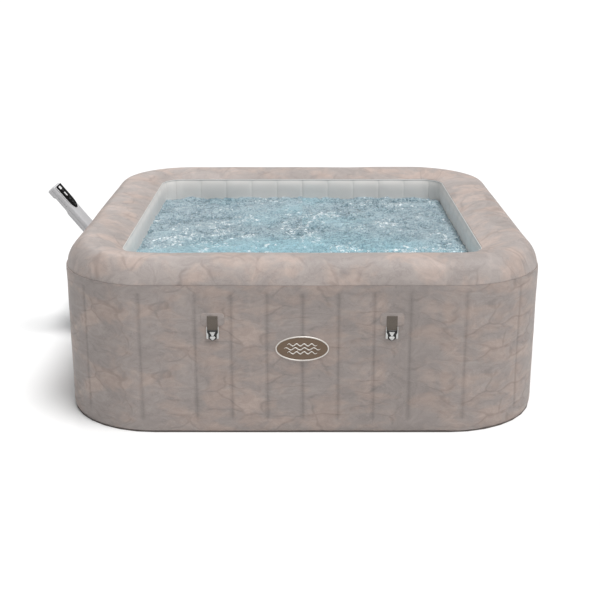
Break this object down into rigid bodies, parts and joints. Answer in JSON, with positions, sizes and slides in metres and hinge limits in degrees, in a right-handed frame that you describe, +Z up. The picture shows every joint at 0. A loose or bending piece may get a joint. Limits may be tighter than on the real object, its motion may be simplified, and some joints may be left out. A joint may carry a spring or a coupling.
{
  "type": "inflatable hot tub",
  "caption": "Square inflatable hot tub with rounded corners, a wide round-topped rim, an inner basin, hanging cover clips and a pump unit with a leaning control arm.",
  "frame": {"origin": "centre of the tub's underside, on the ground", "axes": "+Z up, front (badge side) faces -Y, pump unit on the -X side"},
  "size_m": [2.032, 1.8164, 0.6998],
  "materials": {
    "stone_vinyl": "printed vinyl, satin",
    "grey_vinyl": "plain vinyl, satin",
    "dark_vinyl": "vinyl, matt",
    "webbing": "woven webbing",
    "clip_plastic": "moulded, semi-gloss",
    "badge_brown": "moulded, satin",
    "badge_silver": "silver plating",
    "grey_plastic": "moulded, satin",
    "dark_plastic": "moulded, matt",
    "panel_gloss": "polished",
    "display_white": "lit window, satin",
    "key_grey": "moulded, matt",
    "steel": "brushed",
    "rubber": "matt",
    "filter_paper": "pleated polyester",
    "circuit_board": "solder mask"
  },
  "bodies": {
    "tub": {"outer_wall": "stone_vinyl", "top_ring": "stone_vinyl", "inner_wall": "grey_vinyl", "basin_floor": "grey_vinyl", "bubble_channel": "grey_vinyl", "ground_sheet": "dark_vinyl", "base_weld_band": "dark_vinyl", "wall_baffles": "dark_vinyl", "badge_plate": "badge_brown", "badge_rim": "badge_silver", "filter_housing": "grey_plastic", "outlet_screen": "grey_plastic", "pump_base_casing": "grey_plastic", "pump_top_casing": "grey_plastic", "arm_front_shell": "grey_plastic", "arm_back_shell": "grey_plastic", "air_valve_body": "dark_plastic", "drain_fitting": "dark_plastic", "inlet_pipe": "dark_plastic", "outlet_pipe": "dark_plastic", "air_hose": "dark_plastic", "port_manifold": "dark_plastic", "pump_volute": "dark_plastic", "blower_scroll": "dark_plastic", "panel_lens": "panel_gloss", "display_window": "display_white", "circulation_motor": "steel", "heater_tube": "steel", "blower_motor": "steel", "cord_inlet": "rubber", "filter_cartridge": "filter_paper", "control_board": "circuit_board"},
    "clip_front_left": {"strap_front_left": "webbing", "buckle_front_left": "clip_plastic"},
    "clip_front_right": {"strap_front_right": "webbing", "buckle_front_right": "clip_plastic"},
    "clip_right_front": {"strap_right_front": "webbing", "buckle_right_front": "clip_plastic"},
    "clip_right_back": {"strap_right_back": "webbing", "buckle_right_back": "clip_plastic"},
    "clip_back_right": {"strap_back_right": "webbing", "buckle_back_right": "clip_plastic"},
    "clip_back_left": {"strap_back_left": "webbing", "buckle_back_left": "clip_plastic"},
    "clip_left_front": {"strap_left_front": "webbing", "buckle_left_front": "clip_plastic"},
    "key_timer_body": {"key_timer": "key_grey"},
    "key_select_body": {"key_select": "display_white"},
    "key_heater_body": {"key_heater": "key_grey"},
    "key_filter_body": {"key_filter": "key_grey"},
    "key_bubbles_body": {"key_bubbles": "key_grey"},
    "filter_cover_body": {"filter_cover": "grey_plastic"},
    "air_valve_cap_body": {"air_valve_cap": "dark_plastic"},
    "drain_cap_body": {"drain_cap": "dark_plastic"},
    "inlet_nut_body": {"inlet_nut": "dark_plastic"},
    "outlet_nut_body": {"outlet_nut": "dark_plastic"},
    "air_nut_body": {"air_nut": "dark_plastic"},
    "impeller_body": {"impeller": "steel"},
    "blower_fan_body": {"blower_fan": "steel"}
  },
  "joints": [
    {"name": "clip_front_left_swing", "type": "hinge", "parent": "tub", "child": "clip_front_left", "pos_m": [-0.32, -0.8997, 0.452], "axis": [-1, 0, 0], "range_deg": [0, 150]},
    {"name": "clip_front_right_swing", "type": "hinge", "parent": "tub", "child": "clip_front_right", "pos_m": [0.32, -0.8997, 0.452], "axis": [-1, 0, 0], "range_deg": [0, 150]},
    {"name": "clip_right_front_swing", "type": "hinge", "parent": "tub", "child": "clip_right_front", "pos_m": [0.8997, -0.32, 0.452], "axis": [0, -1, 0], "range_deg": [0, 150]},
    {"name": "clip_right_back_swing", "type": "hinge", "parent": "tub", "child": "clip_right_back", "pos_m": [0.8997, 0.32, 0.452], "axis": [0, -1, 0], "range_deg": [0, 150]},
    {"name": "clip_back_right_swing", "type": "hinge", "parent": "tub", "child": "clip_back_right", "pos_m": [0.32, 0.8997, 0.452], "axis": [1, 0, 0], "range_deg": [0, 150]},
    {"name": "clip_back_left_swing", "type": "hinge", "parent": "tub", "child": "clip_back_left", "pos_m": [-0.32, 0.8997, 0.452], "axis": [1, 0, 0], "range_deg": [0, 150]},
    {"name": "clip_left_front_swing", "type": "hinge", "parent": "tub", "child": "clip_left_front", "pos_m": [-0.8997, -0.32, 0.452], "axis": [0, 1, 0], "range_deg": [0, 150]},
    {"name": "key_timer_press", "type": "slide", "parent": "tub", "child": "key_timer_body", "axis": [-0.781, 0, -0.6246], "range_m": [0, 0.0008], "stiffness_N_per_m": 400},
    {"name": "key_select_press", "type": "slide", "parent": "tub", "child": "key_select_body", "axis": [-0.781, 0, -0.6246], "range_m": [0, 0.0008], "stiffness_N_per_m": 400},
    {"name": "key_heater_press", "type": "slide", "parent": "tub", "child": "key_heater_body", "axis": [-0.781, 0, -0.6246], "range_m": [0, 0.0008], "stiffness_N_per_m": 400},
    {"name": "key_filter_press", "type": "slide", "parent": "tub", "child": "key_filter_body", "axis": [-0.781, 0, -0.6246], "range_m": [0, 0.0008], "stiffness_N_per_m": 400},
    {"name": "key_bubbles_press", "type": "slide", "parent": "tub", "child": "key_bubbles_body", "axis": [-0.781, 0, -0.6246], "range_m": [0, 0.0008], "stiffness_N_per_m": 400},
    {"name": "filter_cover_twist", "type": "hinge", "parent": "tub", "child": "filter_cover_body", "pos_m": [-0.677, 0.192, 0.16], "axis": [1, 0, 0], "range_deg": [0, 45]},
    {"name": "air_valve_cap_turn", "type": "hinge", "parent": "tub", "child": "air_valve_cap_body", "pos_m": [-0.897, -0.064, 0.42], "axis": [-1, 0, 0], "range_deg": [0, 540]},
    {"name": "drain_cap_turn", "type": "hinge", "parent": "tub", "child": "drain_cap_body", "pos_m": [-0.897, -0.192, 0.062], "axis": [-1, 0, 0], "range_deg": [0, 540]},
    {"name": "inlet_nut_turn", "type": "hinge", "parent": "tub", "child": "inlet_nut_body", "pos_m": [-0.9005, 0.192, 0.16], "axis": [-1, 0, 0], "range_deg": [0, 720]},
    {"name": "outlet_nut_turn", "type": "hinge", "parent": "tub", "child": "outlet_nut_body", "pos_m": [-0.9005, 0.4845, 0.16], "axis": [-1, 0, 0], "range_deg": [0, 720]},
    {"name": "air_nut_turn", "type": "hinge", "parent": "tub", "child": "air_nut_body", "pos_m": [-0.9005, 0.3205, 0.3], "axis": [-1, 0, 0], "range_deg": [0, 720]},
    {"name": "impeller_spin", "type": "hinge", "parent": "tub", "child": "impeller_body", "pos_m": [-0.9605, 0.192, 0.16], "axis": [-1, 0, 0], "continuous": true},
    {"name": "blower_fan_spin", "type": "hinge", "parent": "tub", "child": "blower_fan_body", "pos_m": [-0.994, 0.405, 0.3], "axis": [-1, 0, 0], "continuous": true}
  ]
}
